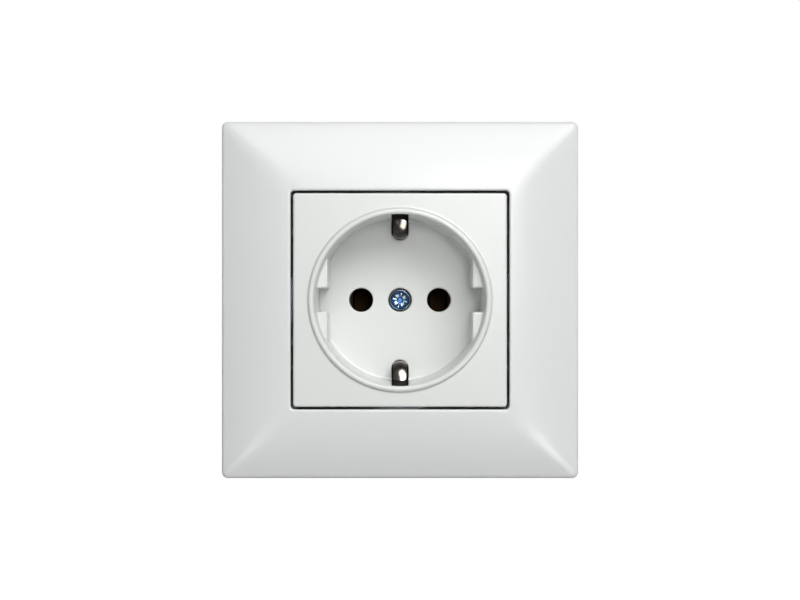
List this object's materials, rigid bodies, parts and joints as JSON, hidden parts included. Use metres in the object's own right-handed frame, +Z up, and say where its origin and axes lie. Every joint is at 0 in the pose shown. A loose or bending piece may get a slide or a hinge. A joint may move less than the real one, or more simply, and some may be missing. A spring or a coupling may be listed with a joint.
{
  "type": "wall socket",
  "caption": "Square flush wall socket: recessed round plug well with pin holes, side earth clips and a centre screw, on a steel bridge with claws, pin contacts and cage terminals behind.",
  "frame": {"origin": "middle between the two box screws, on the wall surface", "axes": "+X to the right as seen from the room, +Y into the wall, +Z up"},
  "size_m": [0.084, 0.0407, 0.084],
  "materials": {
    "base_polyamide": "moulded dark grey, glass-fibre filled",
    "blue_zinc_steel": "zinc plated, blue passivated",
    "bridge_steel": "pressed sheet, zinc plated",
    "claw_steel": "pressed sheet, zinc plated",
    "contact_brass": "stamped and bent",
    "contact_cover_polyamide": "moulded near black",
    "cover_frame": "moulded white, satin gloss",
    "cover_plate": "moulded white, satin gloss",
    "earth_bronze": "spring bronze, thinly tinned",
    "rivet_brass": "turned and set",
    "spring_steel": "hardened spring steel",
    "terminal_steel": "formed sheet, zinc plated",
    "washer_fibre": "red vulcanised fibre",
    "zinc_screw_steel": "zinc plated"
  },
  "bodies": {
    "housing": {"base_body": "base_polyamide", "bridge_rivets": "rivet_brass", "contact_cover": "contact_cover_polyamide", "contact_left": "contact_brass", "contact_right": "contact_brass", "contact_spring_left": "spring_steel", "contact_spring_right": "spring_steel", "cover_frame": "cover_frame", "cover_plate": "cover_plate", "earth_strip": "earth_bronze", "earth_tab": "earth_bronze", "strip_screws": "zinc_screw_steel", "support_bridge": "bridge_steel"},
    "centre_washer": {"screw_washer": "washer_fibre"},
    "centre_screw": {"centre_screw": "blue_zinc_steel"},
    "claw_saddle_left": {"claw_saddle_left": "claw_steel"},
    "claw_screw_left": {"claw_screw_left": "zinc_screw_steel"},
    "claw_left": {"claw_left": "claw_steel"},
    "claw_saddle_right": {"claw_saddle_right": "claw_steel"},
    "claw_screw_right": {"claw_screw_right": "zinc_screw_steel"},
    "claw_right": {"claw_right": "claw_steel"},
    "terminal_cage_left": {"terminal_cage_left": "terminal_steel"},
    "terminal_screw_left": {"terminal_screw_left": "zinc_screw_steel"},
    "terminal_cage_earth": {"terminal_cage_earth": "terminal_steel"},
    "terminal_screw_earth": {"terminal_screw_earth": "zinc_screw_steel"},
    "terminal_cage_right": {"terminal_cage_right": "terminal_steel"},
    "terminal_screw_right": {"terminal_screw_right": "zinc_screw_steel"}
  },
  "joints": [
    {"name": "centre_washer_slide", "type": "slide", "parent": "housing", "child": "centre_washer", "axis": [0, -1, 0], "range_m": [0, 0.005]},
    {"name": "centre_screw_spin", "type": "hinge", "parent": "centre_washer", "child": "centre_screw", "pos_m": [0, 0.0096, 0], "axis": [0, -1, 0], "range_deg": [0, 3600]},
    {"name": "claw_saddle_left_tilt", "type": "hinge", "parent": "housing", "child": "claw_saddle_left", "pos_m": [-0.02192, -0.00289, -0.01117], "axis": [-0.454, 0, 0.891], "range_deg": [0, 12]},
    {"name": "claw_screw_left_spin", "type": "hinge", "parent": "claw_saddle_left", "child": "claw_screw_left", "pos_m": [-0.02192, -0.00289, -0.01117], "axis": [0, 1, 0], "range_deg": [0, 4320]},
    {"name": "claw_left_slide", "type": "slide", "parent": "claw_saddle_left", "child": "claw_left", "axis": [0, -1, 0], "range_m": [0, 0.006]},
    {"name": "claw_saddle_right_tilt", "type": "hinge", "parent": "housing", "child": "claw_saddle_right", "pos_m": [0.02192, -0.00289, -0.01117], "axis": [-0.454, 0, -0.891], "range_deg": [0, 12]},
    {"name": "claw_screw_right_spin", "type": "hinge", "parent": "claw_saddle_right", "child": "claw_screw_right", "pos_m": [0.02192, -0.00289, -0.01117], "axis": [0, 1, 0], "range_deg": [0, 4320]},
    {"name": "claw_right_slide", "type": "slide", "parent": "claw_saddle_right", "child": "claw_right", "axis": [0, -1, 0], "range_m": [0, 0.006]},
    {"name": "terminal_screw_left_spin", "type": "hinge", "parent": "housing", "child": "terminal_screw_left", "pos_m": [-0.01495, 0.025, 0.0206], "axis": [0, 0, -1], "range_deg": [0, 1800]},
    {"name": "terminal_cage_left_slide", "type": "slide", "parent": "housing", "child": "terminal_cage_left", "axis": [0, 0, 1], "range_m": [0, 0.003]},
    {"name": "terminal_screw_earth_spin", "type": "hinge", "parent": "housing", "child": "terminal_screw_earth", "pos_m": [0, 0.025, 0.0206], "axis": [0, 0, -1], "range_deg": [0, 1800]},
    {"name": "terminal_cage_earth_slide", "type": "slide", "parent": "housing", "child": "terminal_cage_earth", "axis": [0, 0, 1], "range_m": [0, 0.003]},
    {"name": "terminal_screw_right_spin", "type": "hinge", "parent": "housing", "child": "terminal_screw_right", "pos_m": [0.01495, 0.025, 0.0206], "axis": [0, 0, -1], "range_deg": [0, 1800]},
    {"name": "terminal_cage_right_slide", "type": "slide", "parent": "housing", "child": "terminal_cage_right", "axis": [0, 0, 1], "range_m": [0, 0.003]}
  ],
  "couplings": [
    {"joint": "centre_screw_spin", "follows": "centre_washer_slide", "rad_per_m": 12566},
    {"joint": "claw_saddle_left_tilt", "follows": "claw_left_slide", "rad_per_m": 34.907},
    {"joint": "claw_screw_left_spin", "follows": "claw_left_slide", "rad_per_m": 12566},
    {"joint": "claw_saddle_right_tilt", "follows": "claw_right_slide", "rad_per_m": 34.907},
    {"joint": "claw_screw_right_spin", "follows": "claw_right_slide", "rad_per_m": 12566},
    {"joint": "terminal_screw_left_spin", "follows": "terminal_cage_left_slide", "rad_per_m": 10472},
    {"joint": "terminal_screw_earth_spin", "follows": "terminal_cage_earth_slide", "rad_per_m": 10472},
    {"joint": "terminal_screw_right_spin", "follows": "terminal_cage_right_slide", "rad_per_m": 10472}
  ]
}
